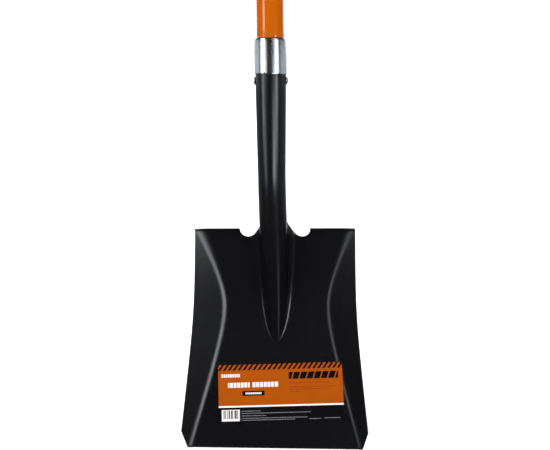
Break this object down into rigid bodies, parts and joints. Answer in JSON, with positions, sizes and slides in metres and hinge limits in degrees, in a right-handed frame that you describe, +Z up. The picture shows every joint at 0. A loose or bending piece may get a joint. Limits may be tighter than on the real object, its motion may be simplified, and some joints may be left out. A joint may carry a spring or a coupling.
{
  "type": "square mouth shovel",
  "caption": "Square-mouth scoop shovel: dished black steel blade with open-back socket, plated ferrule, orange glass-fibre shaft and moulded D-grip.",
  "frame": {"origin": "middle of the cutting edge, which lies on the line of the shaft's axis", "axes": "+Z up along the shaft's axis from the cutting edge to the grip, -Y towards the hollow front of the blade, +X to the right seen from the front"},
  "size_m": [0.243, 0.0669, 1.043],
  "materials": {
    "black_enamel": "satin black stoving enamel on pressed steel",
    "zinc_plate": "bright zinc plate",
    "zinc_steel": "zinc plated, slightly dull",
    "orange_fibreglass": "glossy resin-rich glass-fibre",
    "ash_wood": "plain turned ash",
    "black_nylon": "fine moulded texture",
    "soft_rubber": "matte soft rubber",
    "label_paper": "coated printed paper"
  },
  "bodies": {
    "root": {"blade": "black_enamel", "socket_rivet": "zinc_steel", "ferrule": "zinc_plate", "shaft_tube": "orange_fibreglass", "lower_dowel": "ash_wood", "upper_dowel": "ash_wood", "grip_yoke": "black_nylon", "grip_rivet": "zinc_steel", "grip_rivet_washers": "zinc_steel", "hand_bar": "ash_wood", "hand_bar_sleeve": "soft_rubber", "hand_bar_rod": "zinc_steel", "rod_washers": "zinc_steel", "blade_label": "label_paper"}
  },
  "joints": []
}
